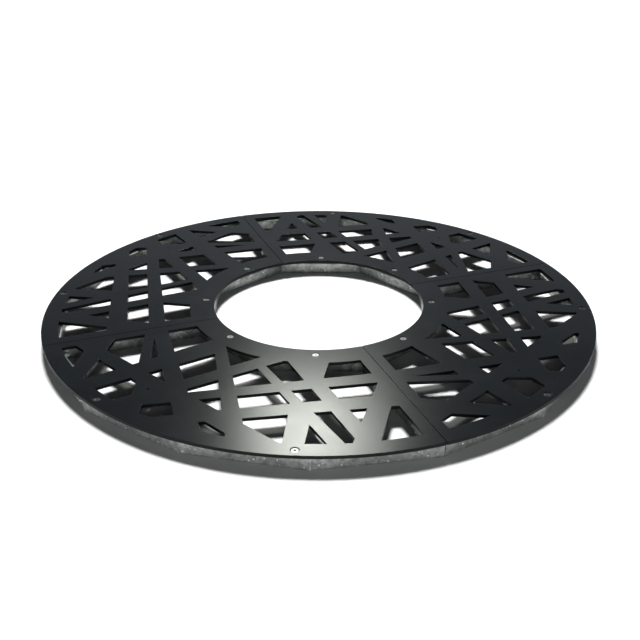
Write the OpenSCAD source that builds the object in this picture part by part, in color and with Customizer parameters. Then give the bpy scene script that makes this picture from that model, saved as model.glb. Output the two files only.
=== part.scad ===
// Tree grate: four perforated quarter panels, screwed down on a bolted frame of galvanised box tube.
// The frame stands on z = 0 and the tree grows along the z axis. Lengths are in millimetres.
// One quarter is drawn between the +x and +y axes and turned four times about the tree.

/* [Grate] */
// Diameter over the rim
plate_d = 1800; // [1600:10:2200]
// Diameter of the tree opening
opening_d = 700; // [500:10:850]
// Thickness of the panels
plate_t = 10; // [8:1:15]
// Distance by which the joints between the panels miss the tree's axis
seam_offset = 9; // [2:0.5:14]
// Gap between two panels, and between the ring tubes below them
seam_gap = 2; // [1:0.5:4]

/* [Perforation] */
// Solid rim outside the openings
rim_w = 52; // [46:1:70]
// Solid collar round the tree opening
collar_w = 80; // [70:1:100]
// Solid border along the joint on the panel's x side
border_x_w = 33; // [24:1:50]
// Solid border along the joint on the panel's y side
border_y_w = 39; // [24:1:50]

/* [Frame tube] */
// Width of the ring tube, seen from above
tube_w = 40; // [30:1:50]
// Height of the frame
tube_h = 40; // [36:1:60]
// Wall of the ring tube
tube_wall = 3; // [2:0.5:4]
// Outer corner radius of the ring tube
tube_corner_r = 5; // [4.5:0.5:7]
// Overhang of the panels beyond the corners of the outer ring
rim_overhang = 7; // [2:0.5:12]
// Step from the tree opening back to the inner ring
opening_step = 1; // [0.5:0.5:5]

/* [Frame ends] */
// Width of the box tube at one end of a frame quarter
end_tube_w = 25; // [20:1:30]
// Wall of that box tube
end_tube_wall = 2.5; // [2:0.5:3.5]
// Outer corner radius of that box tube
end_corner_r = 4; // [4:0.5:6]
// Thickness of the flat bar at the other end
end_flat_t = 10; // [6:1:14]

/* [Bearing strip] */
// Thickness of the rubber under the panels
strip_t = 2; // [2:0.5:4]
// Width of the rubber on the ring tubes
strip_w = 30; // [20:1:34]
// Width of the rubber on the end members
end_strip_w = 10; // [4:1:12]

/* [Panel screws] */
// Shank of a panel screw
screw_d = 10; // [8:1:10]
// Head of a panel screw
screw_head_d = 20; // [18:0.5:21]
// Length of a panel screw, with its head
screw_l = 25; // [22:1:35]
// Hole for the shank in the panel
screw_hole_d = 11; // [10.5:0.5:12]
// Countersink at the panel's top face
sink_d = 24; // [22.5:0.5:26]
// Hexagon socket in the head
socket_af = 6; // [4:0.5:7]
// Depth of that socket
socket_depth = 3.5; // [2:0.5:4]
// Distance of the inner screws from the edge of the tree opening
inner_screw_inset = 29; // [24:1:32]
// Distance of the outer screws from the rim
outer_screw_inset = 25; // [24:1:30]
// Angle from the middle of a panel to each outer screw
outer_screw_angle = 20; // [17:0.5:21]

/* [Threaded inserts] */
// Body of the insert in the tube's top wall
insert_d = 13; // [12:0.5:13]
// Flange of the insert
insert_flange_d = 18; // [16:0.5:19]
// Length of the insert below the tube's top face
insert_l = 20; // [14:1:24]

/* [Frame bolts] */
// Shank of a frame bolt
bolt_d = 12; // [10:1:12]
// Width over flats of head and nut
bolt_af = 18; // [17:0.5:19]
// Height of the bolt's head
bolt_head_h = 7.5; // [6:0.5:8]
// Height of the nut
nut_h = 10.8; // [8:0.2:12]
// Thread that stands out of the nut
bolt_proud = 4; // [2:0.5:6]
// Diameter of a washer
washer_d = 24; // [21:0.5:26]
// Thickness of a washer
washer_t = 2.5; // [1.5:0.5:3]
// Distance of the inner bolt from the inner ring's corner
bolt_inner_gap = 122; // [60:1:150]
// Distance of the outer bolt from the outer ring
bolt_outer_gap = 22; // [20:1:60]

/* [Hidden] */
$fn = 64;
round_fn = 240;
plate_r = plate_d / 2;
opening_r = opening_d / 2;
strip_z = tube_h;
plate_z = strip_z + strip_t;
top_z = plate_z + plate_t;
mid_angle = 45 + asin(seam_offset / plate_r);

// Clearances: screw shank in its thread, parts in their holes, and a cut past the face it goes through
thread_gap = 0.1;
hole_gap = 0.5;
past = 1;

// Outer ring: a regular polygon whose corners fall on the panel joints, four straight lengths a quarter
outer_lengths = 4;
outer_step = 90 / outer_lengths;
outer_corner_r = plate_r - rim_overhang;
outer_face = outer_corner_r * cos(outer_step / 2);
outer_back = outer_face - tube_w;
outer_lead = asin(seam_offset / outer_corner_r);

// Inner ring: the same with two lengths a quarter
inner_lengths = 2;
inner_step = 90 / inner_lengths;
inner_face = opening_r + opening_step;
inner_back = inner_face + tube_w;
inner_corner_r = inner_back / cos(inner_step / 2);
inner_lead = asin(seam_offset / inner_corner_r);

// Panel screws of one quarter as [radius, angle]
inner_screw_r = opening_r + inner_screw_inset;
outer_screw_r = plate_r - outer_screw_inset;
inner_screws = [for (i = [0:1]) [inner_screw_r, mid_angle + (i - 0.5) * 45]];
outer_screws = [for (i = [0:1]) [outer_screw_r, mid_angle + (2 * i - 1) * outer_screw_angle]];
screws = concat(inner_screws, outer_screws);
head_h = (screw_head_d - screw_d) / 2;
head_top = top_z - (sink_d - screw_head_d) / 2 + thread_gap;
insert_flange_t = strip_t - hole_gap;

// Frame bolts of one joint, as distances along the joint
bolt_at = [inner_corner_r + bolt_inner_gap, outer_corner_r - tube_w - bolt_outer_gap];
flat_face_y = seam_offset + end_flat_t;
tube_face_y = seam_offset - end_tube_w;
bolt_l = end_flat_t + end_tube_w + 2 * washer_t + nut_h + bolt_proud;

// The openings are what is left of the field between tapered bars that cross it. A bar runs from
// [x, y, width] to [x, y, width]. The bars were set out on a field from radius 430 to radius 848.
drawn_in = 430;
drawn_out = 848;
fan = [
    [[380, 120, 33], [487, 705, 53]],
    [[543, 20, 47], [593, 680, 58]],
    [[214, 320, 43], [172, 880, 51]],
    [[317, 350, 27], [249, 860, 43]],
    [[576, 38, 31], [630, 222, 32]],
];
falling = [
    [[418, 770, 65], [795, 10, 46]],
    [[0, 675, 63], [740, 528, 42]],
    [[0, 546, 53], [760, 418, 40]],
    [[604, 598, 24], [640, 562, 24]],
];
rising = [
    [[715, 20, 71], [867, 310, 49]],
    [[648, 316, 38], [725, 520, 38]],
    [[0, 567, 56], [215, 880, 70]],
    [[130, 356, 70], [198, 480, 62]],
    [[279, 615, 66], [400, 856, 52]],
    [[200, 319, 55], [800, 434, 51]],
    [[393, 192, 84], [860, 302, 61]],
];
field_in = opening_r + collar_w;
field_out = plate_r - rim_w;

QUARTERS = ["a", "b", "c", "d"];
PER_QUARTER = [
    "end_tube", "end_flat", "threaded_inserts", "outer_strip", "inner_strip", "end_strips",
    "panel", "panel_screws",
];

steel_grey = "#8f9593";
screw_grey = "#b4b6b3";
coat_black = "#34393b";
rubber_black = "#17191a";

// The space of one quarter, kept back by gap from the joints on both sides
module quarter_space(h, gap = 0) {
    translate([gap - seam_offset, gap + seam_offset, 0]) cube([plate_d, plate_d, h]);
}

// A wedge about the tree from angle a to angle b
module wedge(a, b, h) {
    linear_extrude(h) polygon([[0, 0], plate_d * [cos(a), sin(a)], plate_d * [cos(b), sin(b)]]);
}

// Everything nearer to the tree than a straight face, which looks outwards at an angle
module inside_face(distance, angle, h) {
    rotate(angle) translate([distance - 2 * plate_d, -plate_d, 0]) cube([2 * plate_d, 2 * plate_d, h]);
}

// Puts its child at each panel screw of a quarter
module at_screws() {
    for (s = screws) rotate(s[1]) translate([s[0], 0, 0]) children();
}

// Puts its child at each frame bolt, with +z turned to point along +y
module at_bolts() {
    for (x = bolt_at) translate([x, 0, tube_h / 2]) rotate([-90, 0, 0]) children();
}

module rounded_square(w, h, r) {
    translate([-w / 2 + r, -h / 2]) square([w - 2 * r, h]);
    translate([-w / 2, -h / 2 + r]) square([w, h - 2 * r]);
    for (x = [-1, 1]) for (y = [-1, 1]) translate([x * (w / 2 - r), y * (h / 2 - r)]) circle(r);
}

// A box tube along +x, standing on z = 0, centred on y = 0
module box_tube(l, w, h, wall, r) {
    translate([0, 0, h / 2]) rotate([90, 0, 90]) difference() {
        linear_extrude(l) rounded_square(w, h, r);
        translate([0, 0, -past]) linear_extrude(l + 2 * past)
            rounded_square(w - 2 * wall, h - 2 * wall, r - wall);
    }
}

// Turns its child to length i of a ring and mitres it. The child is a straight length along +y with its
// middle on the +x axis. The first and the last length of a quarter stop short of the joints of the frame,
// so that only the end members touch there.
module ring_length(i, lengths, lead, h) {
    step = 90 / lengths;
    from = i == 0 ? -step / 4 : lead + step * i;
    to = i == lengths - 1 ? 90 + step / 4 : lead + step * (i + 1);
    intersection() {
        rotate(lead + step * (i + 0.5)) children();
        wedge(from, to, h);
        quarter_space(h, seam_gap / 2);
    }
}

// A straight length of ring tube whose outer face lies at the given distance
module ring_tube(face) {
    l = 2 * face * tan(30);
    translate([face - tube_w / 2, -l / 2, 0]) rotate(90)
        box_tube(l, tube_w, tube_h, tube_wall, tube_corner_r);
}

// The regular polygon that runs parallel to a ring, at the given distance of its sides from the tree
module ring_outline(lengths, lead, face) {
    step = 90 / lengths;
    corner_r = face / cos(step / 2);
    polygon([for (i = [0:4 * lengths - 1]) corner_r * [cos(lead + step * i), sin(lead + step * i)]]);
}

// Rubber strip along the middle of a ring's tubes, whose outer faces lie at the given distance
module ring_strip(lengths, lead, face) {
    translate([0, 0, strip_z]) intersection() {
        linear_extrude(strip_t) difference() {
            ring_outline(lengths, lead, face - (tube_w - strip_w) / 2);
            ring_outline(lengths, lead, face - (tube_w + strip_w) / 2);
        }
        quarter_space(strip_t, seam_gap / 2);
    }
}

// What lies between the two rings along a panel joint. The joint on the x side meets the first length of
// each ring, and the one on the y side the last.
module between_rings(side, h) {
    outer_angle = side == "x" ? outer_step / 2 : 90 - outer_step / 2;
    inner_angle = side == "x" ? inner_step / 2 : 90 - inner_step / 2;
    difference() {
        intersection() {
            children();
            inside_face(outer_back, outer_lead + outer_angle, h);
        }
        inside_face(inner_back, inner_lead + inner_angle, h);
    }
}

// One of the mitred lengths under the rim, which are welded end to end
module outer_tube(i) {
    color(steel_grey) difference() {
        ring_length(i, outer_lengths, outer_lead, tube_h) ring_tube(outer_face);
        at_screws() insert_hole();
    }
}

// One of the mitred lengths round the tree
module inner_tube(i) {
    color(steel_grey) difference() {
        ring_length(i, inner_lengths, inner_lead, tube_h) ring_tube(inner_back);
        at_screws() insert_hole();
    }
}

module insert_hole() {
    translate([0, 0, tube_h - 2 * tube_wall]) cylinder(d = insert_d + 2 * thread_gap, h = 3 * tube_wall);
}

// Box tube that closes the quarter on its y side
module end_tube() {
    color(steel_grey) between_rings("y", tube_h) difference() {
        translate([end_tube_w / 2 - seam_offset, 0, 0]) rotate(90)
            box_tube(plate_r, end_tube_w, tube_h, end_tube_wall, end_corner_r);
        rotate(90) at_bolts() translate([0, 0, -plate_r]) cylinder(d = bolt_d + 2 * hole_gap, h = plate_d);
    }
}

// Flat bar that closes the quarter on its x side
module end_flat() {
    color(steel_grey) between_rings("x", tube_h) difference() {
        translate([0, seam_offset, 0]) cube([plate_r, end_flat_t, tube_h]);
        at_bolts() translate([0, 0, -plate_r]) cylinder(d = bolt_d + 2 * hole_gap, h = plate_d);
    }
}

module hexagon(af, h) {
    cylinder(d = af / cos(30), h = h, $fn = 6);
}

// Hexagon bolts that pull this quarter's flat bar against its neighbour's end tube
module joint_bolts() {
    color(screw_grey) at_bolts() translate([0, 0, flat_face_y + washer_t]) {
        hexagon(bolt_af, bolt_head_h);
        translate([0, 0, -bolt_l]) cylinder(d = bolt_d, h = bolt_l);
    }
}

module joint_washers() {
    color(screw_grey) at_bolts() for (y = [flat_face_y, tube_face_y - washer_t])
        translate([0, 0, y]) difference() {
            cylinder(d = washer_d, h = washer_t);
            translate([0, 0, -past]) cylinder(d = bolt_d + 2 * hole_gap, h = washer_t + 2 * past);
        }
}

module joint_nuts() {
    color(screw_grey) at_bolts() translate([0, 0, tube_face_y - washer_t - nut_h]) difference() {
        hexagon(bolt_af, nut_h);
        translate([0, 0, -past]) cylinder(d = bolt_d + 2 * thread_gap, h = nut_h + 2 * past);
    }
}

// Flanged threaded inserts, set in the top wall of both rings
module threaded_inserts() {
    color(screw_grey) at_screws() difference() {
        union() {
            translate([0, 0, tube_h - insert_l]) cylinder(d = insert_d, h = insert_l);
            translate([0, 0, tube_h]) cylinder(d = insert_flange_d, h = insert_flange_t);
        }
        translate([0, 0, tube_h - insert_l - past])
            cylinder(d = screw_d + 2 * thread_gap, h = insert_l + insert_flange_t + 2 * past);
    }
}

module strip_hole() {
    translate([0, 0, strip_z - past]) cylinder(d = insert_flange_d + 2 * hole_gap, h = strip_t + 2 * past);
}

// Rubber strip along the outer ring
module outer_strip() {
    color(rubber_black) difference() {
        ring_strip(outer_lengths, outer_lead, outer_face);
        at_screws() strip_hole();
    }
}

// Rubber strip along the inner ring
module inner_strip() {
    color(rubber_black) difference() {
        ring_strip(inner_lengths, inner_lead, inner_back);
        at_screws() strip_hole();
    }
}

// Rubber strips on the end tube and on the flat bar
module end_strips() {
    color(rubber_black) translate([0, 0, strip_z]) {
        between_rings("x", strip_t) translate([0, seam_offset + (end_flat_t - end_strip_w) / 2, 0])
            cube([plate_r, end_strip_w, strip_t]);
        between_rings("y", strip_t) translate([(end_tube_w - end_strip_w) / 2 - seam_offset, 0, 0])
            cube([end_strip_w, plate_r, strip_t]);
    }
}

// Moves a point of the drawn field to the real one, along its own ray from the tree
function place(x, y) =
    let (f = (norm([x, y]) - drawn_in) / (drawn_out - drawn_in))
    (field_in + f * (field_out - field_in)) * [x, y] / norm([x, y]);

module bar(ends) {
    a = place(ends[0][0], ends[0][1]);
    b = place(ends[1][0], ends[1][1]);
    across = [a[1] - b[1], b[0] - a[0]] / norm(b - a) / 2;
    wide_a = across * ends[0][2];
    wide_b = across * ends[1][2];
    polygon([a + wide_a, b + wide_b, b - wide_b, a - wide_a]);
}

module openings() {
    difference() {
        intersection() {
            circle(field_out, $fn = round_fn);
            translate([border_y_w - seam_offset, border_x_w + seam_offset]) square(plate_d);
        }
        circle(field_in, $fn = round_fn);
        for (b = concat(fan, falling, rising)) bar(b);
    }
}

// Quarter of the round plate with its openings and four countersunk holes
module panel() {
    color(coat_black) difference() {
        translate([0, 0, plate_z]) intersection() {
            cylinder(r = plate_r, h = plate_t, $fn = round_fn);
            quarter_space(plate_t, seam_gap / 2);
        }
        translate([0, 0, plate_z - past]) cylinder(r = opening_r, h = plate_t + 2 * past, $fn = round_fn);
        translate([0, 0, plate_z - past]) linear_extrude(plate_t + 2 * past) openings();
        at_screws() screw_seat();
    }
}

// Through hole with a 90 degree countersink
module screw_seat() {
    sink_h = (sink_d - screw_hole_d) / 2;
    translate([0, 0, plate_z - past]) cylinder(d = screw_hole_d, h = plate_t + 2 * past);
    translate([0, 0, top_z - sink_h])
        cylinder(d1 = screw_hole_d, d2 = sink_d + 2 * past, h = sink_h + past);
}

// Countersunk socket screws
module panel_screws() {
    color(screw_grey) at_screws() difference() {
        union() {
            translate([0, 0, head_top - head_h]) cylinder(d1 = screw_d, d2 = screw_head_d, h = head_h);
            translate([0, 0, head_top - screw_l]) cylinder(d = screw_d, h = screw_l - head_h);
        }
        translate([0, 0, head_top - socket_depth]) hexagon(socket_af, socket_depth + past);
    }
}

module per_quarter(name) {
    if (name == "end_tube") end_tube();
    if (name == "end_flat") end_flat();
    if (name == "threaded_inserts") threaded_inserts();
    if (name == "outer_strip") outer_strip();
    if (name == "inner_strip") inner_strip();
    if (name == "end_strips") end_strips();
    if (name == "panel") panel();
    if (name == "panel_screws") panel_screws();
}

module all_quarters() {
    for (q = [0:3]) rotate(90 * q) children();
}

for (q = [0:3]) for (i = [0:outer_lengths - 1])
    rotate(90 * q) outer_tube(i);
for (q = [0:3]) for (i = [0:inner_lengths - 1])
    rotate(90 * q) inner_tube(i);
for (name = PER_QUARTER) for (q = [0:3])
    rotate(90 * q) per_quarter(name);
all_quarters() joint_bolts();
all_quarters() joint_washers();
all_quarters() joint_nuts();
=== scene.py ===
# A round tree grate: four powder-coated steel panels on a bolted frame of galvanised box tube.
# It stands on a pale studio floor and is seen from the front and above. Lengths are in metres.

import math
import random

import bmesh
import bpy
from mathutils import Matrix, Vector


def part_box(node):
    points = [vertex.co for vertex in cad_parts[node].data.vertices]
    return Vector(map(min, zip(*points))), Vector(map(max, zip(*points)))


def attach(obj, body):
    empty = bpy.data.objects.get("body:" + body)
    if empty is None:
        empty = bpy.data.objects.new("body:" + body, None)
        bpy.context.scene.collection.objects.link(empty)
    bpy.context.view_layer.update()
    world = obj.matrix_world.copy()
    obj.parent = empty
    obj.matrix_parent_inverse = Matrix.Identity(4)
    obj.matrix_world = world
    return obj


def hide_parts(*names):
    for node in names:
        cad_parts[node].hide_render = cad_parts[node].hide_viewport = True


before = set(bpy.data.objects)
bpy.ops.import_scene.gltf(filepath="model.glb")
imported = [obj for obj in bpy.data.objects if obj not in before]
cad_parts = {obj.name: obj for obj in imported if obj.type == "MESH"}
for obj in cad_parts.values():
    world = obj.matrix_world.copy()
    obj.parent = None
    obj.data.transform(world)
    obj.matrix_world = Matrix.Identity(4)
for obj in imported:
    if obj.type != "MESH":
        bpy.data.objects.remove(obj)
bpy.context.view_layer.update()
mm = 0.001

# Camera and floor: the camera stands in front of the grate, to the left of the part's own Y axis. It looks
# down from 2.9 m at a point in the near half of the tree opening. The floor is a smooth white paper sweep.
panel_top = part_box("panel_a")[1].z
look_at = Vector((-48 * mm, -140 * mm, panel_top))
camera_distance = 2865 * mm
camera_azimuth = math.radians(-20.6)
camera_elevation = math.radians(26.41)
towards_camera = Vector((
    math.sin(camera_azimuth) * math.cos(camera_elevation),
    -math.cos(camera_azimuth) * math.cos(camera_elevation),
    math.sin(camera_elevation),
))
camera_data = bpy.data.cameras.new("camera")
camera_data.lens = 50.13
camera_data.sensor_width = 36
camera_data.clip_end = 100
camera = bpy.data.objects.new("camera", camera_data)
camera.location = look_at + towards_camera * camera_distance
camera.rotation_euler = (math.pi / 2 - camera_elevation, 0, camera_azimuth)
bpy.context.scene.collection.objects.link(camera)
bpy.context.scene.camera = camera
bpy.context.scene.view_settings.view_transform = "Standard"


def colour(hex_value):
    """The linear colour of an sRGB hex value such as 3a3d3e, with full alpha."""
    parts = [int(hex_value[i:i + 2], 16) / 255 for i in (0, 2, 4)]
    return [c / 12.92 if c <= 0.04045 else ((c + 0.055) / 1.055) ** 2.4 for c in parts] + [1]


def add_node(tree, kind, inputs=None, **settings):
    """Adds a node with its settings. inputs maps a socket to a value, or to the output it is linked to."""
    node = tree.nodes.new(kind)
    for name, value in settings.items():
        setattr(node, name, value)
    for socket, value in (inputs or {}).items():
        if isinstance(value, bpy.types.NodeSocket):
            tree.links.new(value, node.inputs[socket])
        else:
            node.inputs[socket].default_value = value
    return node


def new_piece(name, mesh):
    """Puts a mesh in the scene as an object at the origin."""
    piece = bpy.data.objects.new(name, mesh)
    bpy.context.scene.collection.objects.link(piece)
    return piece


floor_half = 30
floor_mesh = bpy.data.meshes.new("floor")
floor_mesh.from_pydata(
    [(x * floor_half, y * floor_half, 0) for x, y in ((-1, -1), (1, -1), (1, 1), (-1, 1))], [], [(0, 1, 2, 3)]
)
paper = bpy.data.materials.new("white_paper_sweep")
paper.use_nodes = True
paper_shader = paper.node_tree.nodes["Principled BSDF"]
paper_shader.inputs["Base Color"].default_value = colour("b5b5b5")
paper_shader.inputs["Roughness"].default_value = 0.9
floor_mesh.materials.append(paper)
floor = new_piece("floor", floor_mesh)

# Studio light: a broad sun lamp high behind the grate casts the soft shadows and isn't mirrored. The nearest
# plate mirrors two soft panels, and two fills light the sides that face the camera. The walls go from white
# at the floor through grey to charcoal, by the sine of the height angle. No lamp shows in a picture.
turned_to_camera = Matrix.Rotation(camera_azimuth, 4, "Z")
key_lamp = bpy.data.lights.new("key_lamp", "SUN")
key_lamp.energy = 10.2
key_lamp.angle = math.radians(15)
key = bpy.data.objects.new("key_lamp", key_lamp)
towards_key = turned_to_camera @ Vector((-3, 31.5, 52))
key.rotation_euler = towards_key.to_track_quat("Z", "Y").to_euler()
key.visible_glossy = False
bpy.context.scene.collection.objects.link(key)


def add_soft_lamp(name, place, target, width, depth, power):
    """A rectangular lamp that faces its target. Both places are as the camera faces the grate."""
    lamp = bpy.data.lights.new(name, "AREA")
    lamp.shape = "RECTANGLE"
    lamp.size = width
    lamp.size_y = depth
    lamp.energy = power
    holder = bpy.data.objects.new(name, lamp)
    holder.location = turned_to_camera @ Vector(place)
    away = holder.location - turned_to_camera @ Vector(target)
    holder.rotation_euler = away.to_track_quat("Z", "Y").to_euler()
    holder.visible_camera = False
    bpy.context.scene.collection.objects.link(holder)
    return lamp


nearest_plate = (0, -0.6, 0.05)
grate_middle = (0, 0, 0)
soft_panel = add_soft_lamp(
    "soft_panel", (-0.07, 1.75, 1.78), nearest_plate, width=0.46, depth=0.28, power=14.6
)
wide_panel = add_soft_lamp(
    "wide_soft_panel", (-0.03, 1.75, 1.85), nearest_plate, width=0.85, depth=0.41, power=15.5
)
soft_panel.color = wide_panel.color = (0.96, 1.0, 0.92)
add_soft_lamp("fill_lamp", (0.3, -3.1, 0.9), grate_middle, width=1.2, depth=1.2, power=14)
add_soft_lamp("low_fill_lamp", (-0.3, -3.1, 0.09), grate_middle, width=8, depth=0.14, power=50)

world = bpy.data.worlds.new("studio_walls")
bpy.context.scene.world = world
world.use_nodes = True
wall_tree = world.node_tree
wall_tree.nodes.clear()
direction = add_node(wall_tree, "ShaderNodeTexCoord").outputs["Generated"]
height = add_node(wall_tree, "ShaderNodeSeparateXYZ", {"Vector": direction}).outputs["Z"]
walls = add_node(wall_tree, "ShaderNodeValToRGB", {"Fac": height})
wall_foot, wall_grey, wall_charcoal = "fafcff", "94989e", "343638"
walls.color_ramp.elements[0].color = colour(wall_foot)
walls.color_ramp.elements[1].color = colour(wall_charcoal)
for sine, tone in ((0.2, wall_grey), (0.35, wall_grey), (0.45, wall_charcoal)):
    walls.color_ramp.elements.new(sine).color = colour(tone)
background = add_node(wall_tree, "ShaderNodeBackground", {"Color": walls.outputs["Color"], "Strength": 1.0})
add_node(wall_tree, "ShaderNodeOutputWorld", {"Surface": background.outputs[0]})

# Frame tubes and end members: cold-formed box tube and flat bar, mitred, welded and then dipped whole in
# molten zinc. The solids are exact, so they stay as they are and get the zinc's finish.
spangle_size = 9 * mm
patch_size = 28 * mm
grain_size = 2 * mm
spangle_warp = 12 * mm
spangle_share = 0.2
grain_share = 0.3
zinc_stops = (0.5, 0.74, 1.0)
sheen_low, sheen_high = 0.46, 1.05


def galvanised_steel(name, tones, dull, bright):
    """Hot-dip galvanised steel, weathered a little: grey zinc crystals of slightly different brightness,
    cloudy patches where the zinc ran off thinner, and fine grain. tones run from the darkest patches to
    the brightest, and the roughness from dull to bright."""
    material = bpy.data.materials.new(name)
    material.use_nodes = True
    tree = material.node_tree
    shader = tree.nodes["Principled BSDF"]
    place = add_node(tree, "ShaderNodeTexCoord").outputs["Object"]
    warp = add_node(tree, "ShaderNodeTexNoise", {
        "Vector": place, "Scale": 0.6 / spangle_size, "Detail": 2.0,
    })
    bent = add_node(
        tree, "ShaderNodeMix", {0: spangle_warp, 4: place, 5: warp.outputs["Color"]}, data_type="VECTOR"
    )
    spangle = add_node(tree, "ShaderNodeTexVoronoi", {"Vector": bent.outputs[1], "Scale": 1 / spangle_size})
    crystal = add_node(tree, "ShaderNodeSeparateColor", {"Color": spangle.outputs["Color"]}).outputs["Red"]
    patches = add_node(tree, "ShaderNodeTexNoise", {
        "Vector": place, "Scale": 1 / patch_size, "Detail": 4.0, "Roughness": 0.55,
    })
    grain = add_node(tree, "ShaderNodeTexNoise", {"Vector": place, "Scale": 1 / grain_size, "Detail": 2.0})
    cloudy = add_node(tree, "ShaderNodeMath", {
        0: crystal, 1: spangle_share, 2: patches.outputs["Fac"],
    }, operation="MULTIPLY_ADD")
    speckled = add_node(tree, "ShaderNodeMath", {
        0: grain.outputs["Fac"], 1: grain_share, 2: cloudy.outputs[0],
    }, operation="MULTIPLY_ADD").outputs[0]
    zinc = add_node(tree, "ShaderNodeValToRGB", {"Fac": speckled})
    zinc.color_ramp.elements.new(zinc_stops[1])
    for stop, position, tint in zip(zinc.color_ramp.elements, zinc_stops, tones):
        stop.position = position
        stop.color = colour(tint)
    tree.links.new(zinc.outputs["Color"], shader.inputs["Base Color"])
    shader.inputs["Metallic"].default_value = 0.85
    sheen = add_node(tree, "ShaderNodeMapRange", {
        "Value": speckled, "From Min": sheen_low, "From Max": sheen_high, "To Min": dull, "To Max": bright,
    })
    tree.links.new(sheen.outputs["Result"], shader.inputs["Roughness"])
    relief = add_node(tree, "ShaderNodeBump", {"Height": speckled, "Strength": 0.3, "Distance": 0.5 * mm})
    tree.links.new(relief.outputs["Normal"], shader.inputs["Normal"])
    return material


zinc_finish = galvanised_steel(
    "hot_dip_galvanised_steel", ("6c6f6e", "878b88", "a8aca8"), dull=0.56, bright=0.4
)
for name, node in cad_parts.items():
    if name.startswith(("outer_tube_", "inner_tube_", "end_tube_", "end_flat_")):
        node.data.materials.clear()
        node.data.materials.append(zinc_finish)

# Mitre welds: after cutting, the tubes are MIG welded at every mitre and where an end member meets a
# ring, and the whole quarter is dipped afterwards, so a bead shows as soft zinc-covered ripples.
tube_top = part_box("outer_tube_a1")[1].z
tube_width = 40 * mm
seam_offset = 9 * mm
outer_corner_r = 893 * mm
inner_face = 351 * mm
end_tube_face = 16 * mm
end_flat_face = 19 * mm
outer_lengths, inner_lengths = 4, 2
outer_step = math.radians(90 / outer_lengths)
inner_step = math.radians(90 / inner_lengths)
outer_back = outer_corner_r * math.cos(outer_step / 2) - tube_width
inner_back = inner_face + tube_width
outer_lead = math.asin(seam_offset / outer_corner_r)
inner_lead = math.asin(seam_offset * math.cos(inner_step / 2) / inner_back)
tube_rings = (
    (outer_lengths, outer_step, outer_lead, outer_back, outer_back + tube_width),
    (inner_lengths, inner_step, inner_lead, inner_face, inner_back),
)
quarter_angles = [quarter * math.pi / 2 for quarter in range(4)]
bead_inset = 3 * mm
bead_spread = (0.85, 1.15)
bead_sizes = {"Pitch": 2.2 * mm, "Width": 7 * mm, "Height": 1.3 * mm}


def polar(radius, angle):
    """The point at a radius and an angle, at floor height."""
    return Vector((radius * math.cos(angle), radius * math.sin(angle), 0))


def grown(name, mesh, tree, values):
    """Runs a Geometry Nodes tree on a mesh and returns the result as a plain mesh. values are the tree's
    named inputs."""
    source = new_piece(name + "_source", mesh)
    growing = source.modifiers.new("growing", "NODES")
    growing.node_group = tree
    for socket in tree.interface.items_tree:
        if socket.in_out == "INPUT" and socket.name in values:
            growing[socket.identifier] = values[socket.name]
    depsgraph = bpy.context.evaluated_depsgraph_get()
    result = bpy.data.meshes.new_from_object(source.evaluated_get(depsgraph))
    source.modifiers.remove(growing)
    bpy.data.objects.remove(source)
    result.name = name
    return result


def new_tree(name, sockets):
    """A Geometry Nodes tree with a geometry going in and out, and its named inputs."""
    tree = bpy.data.node_groups.new(name, "GeometryNodeTree")
    tree.interface.new_socket("Geometry", in_out="INPUT", socket_type="NodeSocketGeometry")
    tree.interface.new_socket("Geometry", in_out="OUTPUT", socket_type="NodeSocketGeometry")
    for socket, kind in sockets.items():
        tree.interface.new_socket(socket, in_out="INPUT", socket_type="NodeSocket" + kind)
    return tree, add_node(tree, "NodeGroupInput").outputs


def finish_tree(tree, geometry, material):
    """Ends a tree: real geometry instead of instances, with its material."""
    real = add_node(tree, "GeometryNodeRealizeInstances", {"Geometry": geometry})
    dressed = add_node(tree, "GeometryNodeSetMaterial", {"Geometry": real.outputs[0], "Material": material})
    add_node(tree, "NodeGroupOutput", {"Geometry": dressed.outputs[0]})


ripples, given = new_tree("weld_ripples", {
    "Pitch": "Float", "Width": "Float", "Height": "Float", "Seed": "Int", "Material": "Material",
})
lines = add_node(ripples, "GeometryNodeMeshToCurve", {"Mesh": given["Geometry"]})
spaced = add_node(
    ripples, "GeometryNodeResampleCurve", {"Curve": lines.outputs[0], "Length": given["Pitch"]}, mode="LENGTH"
)
blob = add_node(ripples, "GeometryNodeMeshUVSphere", {"Segments": 8, "Rings": 4, "Radius": 1.0})
rounded = add_node(ripples, "GeometryNodeSetShadeSmooth", {"Geometry": blob.outputs["Mesh"]})
uneven = add_node(ripples, "FunctionNodeRandomValue", {
    2: bead_spread[0], 3: bead_spread[1], "Seed": given["Seed"],
})
half_width = add_node(ripples, "ShaderNodeMath", {0: given["Width"], 1: 0.5}, operation="MULTIPLY")
blob_size = add_node(ripples, "ShaderNodeCombineXYZ", {
    "X": half_width.outputs[0], "Y": given["Height"], "Z": given["Pitch"],
})
blob_scale = add_node(
    ripples, "ShaderNodeVectorMath", {0: blob_size.outputs[0], "Scale": uneven.outputs[1]}, operation="SCALE"
)
facing = add_node(ripples, "GeometryNodeInputNamedAttribute", {"Name": "turn"}, data_type="FLOAT")
upright = add_node(ripples, "ShaderNodeCombineXYZ", {"Z": facing.outputs[0]})
laid = add_node(ripples, "GeometryNodeInstanceOnPoints", {
    "Points": spaced.outputs[0], "Instance": rounded.outputs[0],
    "Rotation": upright.outputs[0], "Scale": blob_scale.outputs[0],
})
finish_tree(ripples, laid.outputs[0], given["Material"])

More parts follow.
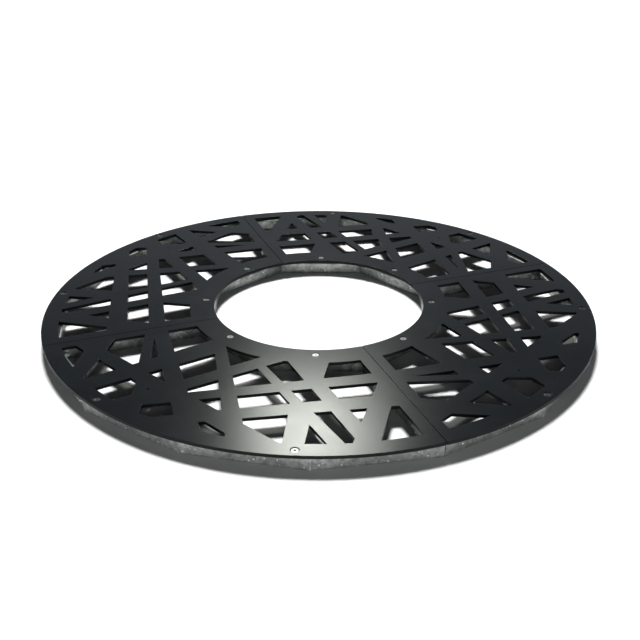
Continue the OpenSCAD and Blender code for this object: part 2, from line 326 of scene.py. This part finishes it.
weld_lines = []
for quarter_angle in quarter_angles:
    for lengths, step, lead, near, far in tube_rings:
        for mitre in range(1, lengths):
            angle = quarter_angle + lead + step * mitre
            weld_lines.append((polar(near / math.cos(step / 2), angle), angle + math.pi))
            weld_lines.append((polar(far / math.cos(step / 2), angle), angle))
    turned = Matrix.Rotation(quarter_angle, 3, "Z")
    for ring_face, lead, step, outwards in (
        (outer_back, outer_lead, outer_step, -1), (inner_back, inner_lead, inner_step, 1)
    ):
        first = lead + step / 2
        last = lead + math.pi / 2 - step / 2
        at_flat = Vector(((ring_face - end_flat_face * math.sin(first)) / math.cos(first), end_flat_face, 0))
        at_tube = Vector((end_tube_face, (ring_face - end_tube_face * math.cos(last)) / math.sin(last), 0))
        for corner, side in ((at_flat, Vector((0, 1, 0))), (at_tube, Vector((1, 0, 0)))):
            open_side = turned @ (side + outwards * corner.normalized())
            weld_lines.append((turned @ corner, math.atan2(open_side.y, open_side.x)))
bead_mesh = bpy.data.meshes.new("weld_lines")
bead_mesh.from_pydata(
    [spot + Vector((0, 0, z)) for spot, _ in weld_lines for z in (bead_inset, tube_top - bead_inset)],
    [(2 * i, 2 * i + 1) for i in range(len(weld_lines))], [],
)
bead_turns = bead_mesh.attributes.new("turn", "FLOAT", "POINT")
for i, (_, angle) in enumerate(weld_lines):
    bead_turns.data[2 * i].value = bead_turns.data[2 * i + 1].value = angle - math.pi / 2
welds = new_piece("weld_beads", grown(
    "weld_beads", bead_mesh, ripples, {**bead_sizes, "Seed": 4, "Material": zinc_finish}
))
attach(welds, "root")

# Zinc lumps: where the bath drained badly, small drops of zinc froze on the faces of the tubes. They are
# part of the coating, about 3 to 12 mm long, a little shinier than the faces, and given lighter tones as a
# painted highlight, so they show as bright dots.
lump_low = 7 * mm
lump_high = tube_top - 6 * mm
lump_sizes = {"Density": 1100.0, "Smallest": 1.4 * mm, "Largest": 4 * mm}
member_ends = (inner_back + 20 * mm, outer_back - 10 * mm)
lump_stretch = (0.8, 1.5)
lump_flatness = 0.5
# Lighter tones than the zinc finish: a painted highlight on the lumps. Only their lower roughness is the
# drops' own.
zinc_lightened_for_glints = galvanised_steel("frozen_zinc_painted_glint", ("b2b5b1", "c2c5c1", "d2d5d0"), dull=0.34, bright=0.24)
lump_tree, given = new_tree("zinc_lumps", {
    "Density": "Float", "Smallest": "Float", "Largest": "Float", "Seed": "Int", "Material": "Material",
})
spots = add_node(lump_tree, "GeometryNodeDistributePointsOnFaces", {
    "Mesh": given["Geometry"], "Density": given["Density"], "Seed": given["Seed"],
})
lump = add_node(lump_tree, "GeometryNodeMeshUVSphere", {"Segments": 8, "Rings": 5, "Radius": 1.0})
round_lump = add_node(lump_tree, "GeometryNodeSetShadeSmooth", {"Geometry": lump.outputs["Mesh"]})
lump_r = add_node(lump_tree, "FunctionNodeRandomValue", {
    2: given["Smallest"], 3: given["Largest"], "Seed": given["Seed"],
})
stretch = add_node(lump_tree, "FunctionNodeRandomValue", {
    2: lump_stretch[0], 3: lump_stretch[1], "Seed": 11,
})
lump_shape = add_node(lump_tree, "ShaderNodeCombineXYZ", {
    "X": 1.0, "Y": stretch.outputs[1], "Z": lump_flatness,
})
lump_scale = add_node(lump_tree, "ShaderNodeVectorMath", {
    0: lump_shape.outputs[0], "Scale": lump_r.outputs[1],
}, operation="SCALE")
frozen = add_node(lump_tree, "GeometryNodeInstanceOnPoints", {
    "Points": spots.outputs["Points"], "Instance": round_lump.outputs[0],
    "Rotation": spots.outputs["Rotation"], "Scale": lump_scale.outputs[0],
})
finish_tree(lump_tree, frozen.outputs[0], given["Material"])

tube_walls = []
for quarter_angle in quarter_angles:
    for lengths, step, lead, near, far in tube_rings:
        for i in range(lengths):
            a = quarter_angle + lead + step * i
            b = a + step
            tube_walls.append([polar(far / math.cos(step / 2), angle) for angle in (a, b)])
            tube_walls.append([polar(near / math.cos(step / 2), angle) for angle in (b, a)])
    turned = Matrix.Rotation(quarter_angle, 3, "Z")
    tube_walls.append([turned @ Vector((x, end_flat_face, 0)) for x in reversed(member_ends)])
    tube_walls.append([turned @ Vector((end_tube_face, y, 0)) for y in member_ends])
wall_mesh = bpy.data.meshes.new("tube_walls")
wall_mesh.from_pydata(
    [spot + Vector((0, 0, z)) for start, end in tube_walls for spot, z in (
        (start, lump_low), (end, lump_low), (end, lump_high), (start, lump_high)
    )],
    [], [tuple(range(4 * i, 4 * i + 4)) for i in range(len(tube_walls))],
)
lumps = new_piece("zinc_lumps", grown(
    "zinc_lumps", wall_mesh, lump_tree, {**lump_sizes, "Seed": 5, "Material": zinc_lightened_for_glints}
))
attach(lumps, "root")

# Threaded inserts: flanged stainless nuts with a knurled body, pressed into the top wall of both rings.
# They take the panel screws.
quarter_names = "abcd"
panel_r = 900 * mm
panel_middle = math.pi / 4 + math.asin(seam_offset / panel_r)
inner_screw_r, outer_screw_r = 379 * mm, 875 * mm
inner_screw_spread, outer_screw_spread = math.radians(22.5), math.radians(20)
screw_places = [
    (radius, panel_middle + side * spread)
    for radius, spread in ((inner_screw_r, inner_screw_spread), (outer_screw_r, outer_screw_spread))
    for side in (-1, 1)
]
insert_r, insert_flange_r, insert_bore_r = 6.5 * mm, 9 * mm, 5.1 * mm
insert_low, insert_high = tube_top - 20 * mm, tube_top + 1.5 * mm
plain_length, end_taper = 3 * mm, 1 * mm
knurl_depth, knurl_ridges = 0.3 * mm, 24
insert_edge = 0.4 * mm
bore_edge = 0.6 * mm
smudge_size = 4 * mm


def turned_steel(name, base, roughness):
    """Machined steel: fine even sheen with faint handling smudges."""
    material = bpy.data.materials.new(name)
    material.use_nodes = True
    tree = material.node_tree
    shader = tree.nodes["Principled BSDF"]
    shader.inputs["Base Color"].default_value = colour(base)
    shader.inputs["Metallic"].default_value = 1.0
    place = add_node(tree, "ShaderNodeTexCoord").outputs["Object"]
    smudge = add_node(tree, "ShaderNodeTexNoise", {"Vector": place, "Scale": 1 / smudge_size, "Detail": 2.0})
    sheen = add_node(tree, "ShaderNodeMapRange", {
        "Value": smudge.outputs["Fac"], "To Min": roughness - 0.04, "To Max": roughness + 0.06,
    })
    tree.links.new(sheen.outputs["Result"], shader.inputs["Roughness"])
    relief = add_node(tree, "ShaderNodeBump", {
        "Height": smudge.outputs["Fac"], "Strength": 0.1, "Distance": 0.03 * mm,
    })
    tree.links.new(relief.outputs["Normal"], shader.inputs["Normal"])
    return material


stainless = turned_steel("turned_stainless_steel", "909291", roughness=0.36)


def revolved(name, rings, through=False, steps=48, crease=32):
    """A closed mesh about the z axis. A ring is (radius, height), and either may be a function of the
    angle. A part with a hole through it joins its last ring to its first, and another is capped. Edges
    sharper than the crease, in degrees, stay sharp."""
    shape = bmesh.new()
    loops = []
    for radius, height in rings:
        loop = []
        for step in range(steps):
            angle = 2 * math.pi * step / steps
            spot = polar(radius(angle) if callable(radius) else radius, angle)
            spot.z = height(angle) if callable(height) else height
            loop.append(shape.verts.new(spot))
        loops.append(loop)
    pairs = list(zip(loops, loops[1:]))
    if through:
        pairs.append((loops[-1], loops[0]))
    else:
        shape.faces.new(loops[0])
        shape.faces.new(loops[-1])
    for one, other in pairs:
        for i in range(steps):
            shape.faces.new((one[i - 1], one[i], other[i], other[i - 1]))
    bmesh.ops.recalc_face_normals(shape, faces=shape.faces)
    mesh = bpy.data.meshes.new(name)
    shape.to_mesh(mesh)
    shape.free()
    mesh.shade_smooth()
    mesh.set_sharp_from_angle(angle=math.radians(crease))
    return mesh


def knurl(angle):
    """Radius of the knurled body, which goes up and down once for each ridge."""
    return insert_r - knurl_depth * (round(angle / (2 * math.pi) * 2 * knurl_ridges) % 2)


seat_tree, given = new_tree("at_seats", {"Part": "Object", "Material": "Material"})
part_shape = add_node(seat_tree, "GeometryNodeObjectInfo", {"Object": given["Part"]})
seat_turn = add_node(
    seat_tree, "GeometryNodeInputNamedAttribute", {"Name": "turn"}, data_type="FLOAT_VECTOR"
)
set_down = add_node(seat_tree, "GeometryNodeInstanceOnPoints", {
    "Points": given["Geometry"], "Instance": part_shape.outputs["Geometry"],
    "Rotation": seat_turn.outputs[0],
})
finish_tree(seat_tree, set_down.outputs[0], given["Material"])


def seat_parts(name, part_mesh, seats, material):
    """One piece with a copy of the part at each seat, which is (place, turn as Euler angles)."""
    points = bpy.data.meshes.new(name + "_seats")
    points.from_pydata([place for place, _ in seats], [], [])
    turns = points.attributes.new("turn", "FLOAT_VECTOR", "POINT")
    for i, (_, angles) in enumerate(seats):
        turns.data[i].vector = angles
    part = new_piece(name + "_part", part_mesh)
    mesh = grown(name, points, seat_tree, {"Part": part, "Material": material})
    bpy.data.objects.remove(part)
    return new_piece(name, mesh)


insert_mesh = revolved("insert", [
    (insert_bore_r + bore_edge, insert_high),
    (insert_flange_r - insert_edge, insert_high),
    (insert_flange_r, insert_high - insert_edge),
    (insert_flange_r, tube_top),
    (insert_r, tube_top),
    (insert_r, tube_top - plain_length),
    (knurl, tube_top - plain_length - bore_edge),
    (knurl, insert_low + end_taper),
    (insert_r - 0.8 * end_taper, insert_low),
    (insert_bore_r + insert_edge, insert_low),
    (insert_bore_r, insert_low + bore_edge),
    (insert_bore_r, insert_high - bore_edge),
], through=True)
for quarter_angle, letter in zip(quarter_angles, quarter_names):
    seats = [(polar(radius, angle + quarter_angle), (0, 0, angle)) for radius, angle in screw_places]
    inserts = seat_parts(f"knurled_inserts_{letter}", insert_mesh, seats, stainless)
    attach(inserts, "root")
    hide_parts(f"threaded_inserts_{letter}")

# Frame bolts: M12 hexagon bolts, zinc plated, two through each joint of the frame, with a plain washer
# under head and nut. They clamp a flat bar of one quarter against the end tube of the next.
bolt_r, bolt_flats, bolt_pitch = 6 * mm, 18 * mm, 1.75 * mm
head_height, nut_height, bolt_proud = 7.5 * mm, 10.8 * mm, 4 * mm
washer_r, washer_bore_r, washer_t = 12 * mm, 6.5 * mm, 2.5 * mm
head_seat = end_flat_face + washer_t
head_end = head_seat + head_height
nut_high = -end_tube_face - washer_t
nut_low = nut_high - nut_height
bolt_end = nut_low - bolt_proud
thread_start = -end_tube_face + 7 * mm
bolt_thread = 28 * mm
bolt_radii = [545.2 * mm, 831 * mm]
bolt_height = sum(corner.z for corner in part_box("joint_bolts")) / 2
washer_face_r = bolt_flats / 2 - 0.6 * mm
washer_face_t = 0.4 * mm
chamfer_r = 0.95 * bolt_flats / 2
chamfer_slope = math.tan(math.radians(30))
thread_depth = 0.48
bolt_core_r = bolt_r - thread_depth * bolt_pitch
point_chamfer = 0.8 * mm
washer_edge = 0.3 * mm
plated = turned_steel("zinc_plated_steel", "a9aeb0", roughness=0.3)


def hexagon(flats):
    """The radius of a hexagon at an angle, with a corner at angle 0."""
    return lambda angle: flats / 2 / math.cos(angle % (math.pi / 3) - math.pi / 6)


thread_tree, given = new_tree("screw_thread", {
    "Radius": "Float", "Pitch": "Float", "Top": "Float", "Length": "Float", "Material": "Material",
})
thread_turns = add_node(
    thread_tree, "ShaderNodeMath", {0: given["Length"], 1: given["Pitch"]}, operation="DIVIDE"
)
depth = add_node(thread_tree, "ShaderNodeMath", {0: given["Pitch"], 1: thread_depth}, operation="MULTIPLY")
middle = add_node(
    thread_tree, "ShaderNodeMath", {0: given["Radius"], 1: depth.outputs[0]}, operation="SUBTRACT"
)
helix = add_node(thread_tree, "GeometryNodeCurveSpiral", {
    "Resolution": 20, "Rotations": thread_turns.outputs[0], "Start Radius": middle.outputs[0],
    "End Radius": middle.outputs[0], "Height": given["Length"],
})
steady = add_node(thread_tree, "GeometryNodeSetCurveNormal", {"Curve": helix.outputs[0]}, mode="Z_UP")
ridge = add_node(thread_tree, "GeometryNodeCurvePrimitiveCircle", {
    "Resolution": 4, "Radius": depth.outputs[0],
})
swept = add_node(thread_tree, "GeometryNodeCurveToMesh", {
    "Curve": steady.outputs[0], "Profile Curve": ridge.outputs[0], "Fill Caps": True,
})
bottom = add_node(
    thread_tree, "ShaderNodeMath", {0: given["Top"], 1: given["Length"]}, operation="SUBTRACT"
)
drop = add_node(thread_tree, "ShaderNodeCombineXYZ", {"Z": bottom.outputs[0]})
seated = add_node(thread_tree, "GeometryNodeTransform", {
    "Geometry": swept.outputs[0], "Translation": drop.outputs[0],
})
threaded = add_node(thread_tree, "GeometryNodeJoinGeometry")
thread_tree.links.new(given["Geometry"], threaded.inputs[0])
thread_tree.links.new(seated.outputs[0], threaded.inputs[0])
finish_tree(thread_tree, threaded.outputs[0], given["Material"])

corners = hexagon(bolt_flats)


def chamfer_drop(angle):
    """How far the 30 degree chamfer of a head or nut has dropped where it meets the flats."""
    return (corners(angle) - chamfer_r) * chamfer_slope


bolt_body = revolved("bolt_body", [
    (chamfer_r - 0.3 * mm, head_end - 0.15 * mm),
    (chamfer_r, head_end),
    (corners, lambda angle: head_end - chamfer_drop(angle)),
    (corners, head_seat + washer_face_t),
    (washer_face_r, head_seat + washer_face_t),
    (washer_face_r, head_seat),
    (bolt_r, head_seat),
    (bolt_r, thread_start + 1 * mm),
    (bolt_core_r, thread_start),
    (bolt_core_r, bolt_end + point_chamfer),
    (bolt_core_r - point_chamfer, bolt_end),
])
bolt_mesh = grown("bolt", bolt_body, thread_tree, {
    "Radius": bolt_r, "Pitch": bolt_pitch, "Top": thread_start, "Length": bolt_thread, "Material": plated,
})
nut_bore_r = bolt_r + 0.1 * mm
nut_mesh = revolved("nut", [
    (nut_bore_r + point_chamfer, nut_high),
    (chamfer_r, nut_high),
    (corners, lambda angle: nut_high - chamfer_drop(angle)),
    (corners, lambda angle: nut_low + chamfer_drop(angle)),
    (chamfer_r, nut_low),
    (nut_bore_r + point_chamfer, nut_low),
    (nut_bore_r, nut_low + point_chamfer),
    (nut_bore_r, nut_high - point_chamfer),
], through=True)
washer_pair = bmesh.new()
for low in (end_flat_face, nut_high):
    high = low + washer_t
    washer_pair.from_mesh(revolved("washer", [
        (washer_bore_r, low),
        (washer_r - washer_edge, low),
        (washer_r, low + washer_edge),
        (washer_r, high - washer_edge),
        (washer_r - washer_edge, high),
        (washer_bore_r, high),
    ], through=True))
washer_mesh = bpy.data.meshes.new("washers")
washer_pair.to_mesh(washer_mesh)
washer_pair.free()
seats = [
    (polar(radius, angle) + Vector((0, 0, bolt_height)), (-math.pi / 2, 0, angle))
    for angle in quarter_angles for radius in bolt_radii
]
for name, node, mesh in (
    ("hexagon_bolts", "joint_bolts", bolt_mesh),
    ("hexagon_nuts", "joint_nuts", nut_mesh),
    ("plain_washers", "joint_washers", washer_mesh),
):
    group = seat_parts(name, mesh, seats, plated)
    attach(group, "root")
    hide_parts(node)

# Bearing strips: black EPDM rubber, extruded, glued on the frame so that the panels don't rattle.
# Rubber is matt and takes a faint grey bloom.
bloom_size = 25 * mm
rubber = bpy.data.materials.new("extruded_epdm_rubber")
rubber.use_nodes = True
rubber_tree = rubber.node_tree
rubber_shader = rubber_tree.nodes["Principled BSDF"]
rubber_place = add_node(rubber_tree, "ShaderNodeTexCoord").outputs["Object"]
bloom = add_node(rubber_tree, "ShaderNodeTexNoise", {
    "Vector": rubber_place, "Scale": 1 / bloom_size, "Detail": 4.0,
})
black = add_node(rubber_tree, "ShaderNodeValToRGB", {"Fac": bloom.outputs["Fac"]})
black.color_ramp.elements[0].color = colour("141516")
black.color_ramp.elements[1].color = colour("26282a")
rubber_tree.links.new(black.outputs["Color"], rubber_shader.inputs["Base Color"])
rubber_shader.inputs["Roughness"].default_value = 0.85
rubber_shader.inputs["Specular IOR Level"].default_value = 0.35
rubber_relief = add_node(rubber_tree, "ShaderNodeBump", {
    "Height": bloom.outputs["Fac"], "Strength": 0.2, "Distance": 0.2 * mm,
})
rubber_tree.links.new(rubber_relief.outputs["Normal"], rubber_shader.inputs["Normal"])
for name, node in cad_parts.items():
    if name.startswith(("outer_strip_", "inner_strip_", "end_strips_")):
        node.data.materials.clear()
        node.data.materials.append(rubber)

# Perforated panels: 10 mm steel plate, laser cut, its edges just broken, then powder coated in satin
# anthracite. Each is screwed down on the rubber. The cut edges keep a soft radius under the coat.
edge_radius = 0.5 * mm
dust_size = 120 * mm
peel_size = 2.5 * mm


def powder_coat(name, roughness, specular):
    """Satin anthracite polyester powder coat on steel: nearly black, a low even gloss with fine
    orange peel, and a little dust lying on it."""
    material = bpy.data.materials.new(name)
    material.use_nodes = True
    tree = material.node_tree
    shader = tree.nodes["Principled BSDF"]
    place = add_node(tree, "ShaderNodeTexCoord").outputs["Object"]
    dust = add_node(tree, "ShaderNodeTexNoise", {
        "Vector": place, "Scale": 1 / dust_size, "Detail": 6.0, "Roughness": 0.6,
    })
    tint = add_node(tree, "ShaderNodeValToRGB", {"Fac": dust.outputs["Fac"]})
    for stop, position, tone in zip(tint.color_ramp.elements, (0.3, 0.75), ("090b0c", "0d0f11")):
        stop.position = position
        stop.color = colour(tone)
    tree.links.new(tint.outputs["Color"], shader.inputs["Base Color"])
    gloss = add_node(tree, "ShaderNodeMapRange", {
        "Value": dust.outputs["Fac"], "To Min": roughness - 0.03, "To Max": roughness + 0.03,
    })
    tree.links.new(gloss.outputs["Result"], shader.inputs["Roughness"])
    shader.inputs["Specular IOR Level"].default_value = specular
    peel = add_node(tree, "ShaderNodeTexNoise", {"Vector": place, "Scale": 1 / peel_size, "Detail": 2.0})
    relief = add_node(tree, "ShaderNodeBump", {
        "Height": peel.outputs["Fac"], "Strength": 0.12, "Distance": 0.1 * mm,
    })
    tree.links.new(relief.outputs["Normal"], shader.inputs["Normal"])
    return material


# The powder lies thin on a laser-cut edge and on the underside, so they reflect less than the top.
top_coat = powder_coat("satin_anthracite_powder_coat", roughness=0.25, specular=0.28)
thin_coat = powder_coat("powder_coat_on_cut_edge", roughness=0.45, specular=0.1)
faces_up = 0.5
for letter in quarter_names:
    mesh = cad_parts[f"panel_{letter}"].data.copy()
    shape = bmesh.new()
    shape.from_mesh(mesh)
    bmesh.ops.remove_doubles(shape, verts=shape.verts, dist=0.01 * mm)
    bmesh.ops.dissolve_limit(shape, angle_limit=math.radians(0.5), verts=shape.verts, edges=shape.edges)
    shape.to_mesh(mesh)
    shape.free()
    mesh.shade_smooth()
    mesh.materials.clear()
    mesh.materials.append(top_coat)
    mesh.materials.append(thin_coat)
    for face in mesh.polygons:
        face.material_index = 0 if face.normal.z >= faces_up else 1
    panel = new_piece(f"perforated_panel_{letter}", mesh)
    rounding = panel.modifiers.new("rounding", "BEVEL")
    rounding.width = edge_radius
    rounding.segments = 2
    rounding.use_clamp_overlap = False
    rounding.limit_method = "ANGLE"
    rounding.angle_limit = math.radians(30)
    evened = panel.modifiers.new("evened", "WEIGHTED_NORMAL")
    evened.weight = 100
    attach(panel, "root")
    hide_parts(f"panel_{letter}")

# Panel screws: M10 countersunk socket screws in stainless steel, sixteen in all, turned down flush into
# the inserts. The bright heads sit in slightly wider countersinks.
head_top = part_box("panel_screws_a")[1].z
head_r, screw_r, screw_pitch, screw_length = 10 * mm, 5 * mm, 1.5 * mm, 25 * mm
socket_flats, socket_depth = 6 * mm, 3.5 * mm
socket_lip_r, socket_lip_t = 0.9 * mm, 0.35 * mm
head_rim, head_round = 0.6 * mm, 0.2 * mm
screw_tip = head_top - screw_length
screw_thread_start = head_top - 7 * mm
screw_thread = 17 * mm
screw_core_r = screw_r - thread_depth * screw_pitch
socket = hexagon(socket_flats)
screw_body = revolved("screw_body", [
    (socket, head_top - socket_depth),
    (socket, head_top - socket_lip_t),
    (socket_flats / 2 + socket_lip_r, head_top),
    (head_r - 2.5 * head_round, head_top),
    (head_r - head_round / 2, head_top - head_round),
    (head_r, head_top - head_rim),
    (screw_r, head_top - head_rim - (head_r - screw_r)),
    (screw_r, screw_thread_start + 0.5 * mm),
    (screw_core_r, screw_thread_start - 0.2 * mm),
    (screw_core_r, screw_tip + 1 * mm),
    (screw_core_r - 0.8 * mm, screw_tip),
], crease=16)
screw_mesh = grown("screw", screw_body, thread_tree, {
    "Radius": screw_r, "Pitch": screw_pitch, "Top": screw_thread_start, "Length": screw_thread,
    "Material": stainless,
})
spin = random.Random(3)
for quarter_angle, letter in zip(quarter_angles, quarter_names):
    seats = [
        (polar(radius, angle + quarter_angle), (0, 0, spin.uniform(0, math.pi / 3)))
        for radius, angle in screw_places
    ]
    screws = seat_parts(f"socket_screws_{letter}", screw_mesh, seats, stainless)
    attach(screws, "root")
    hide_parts(f"panel_screws_{letter}")
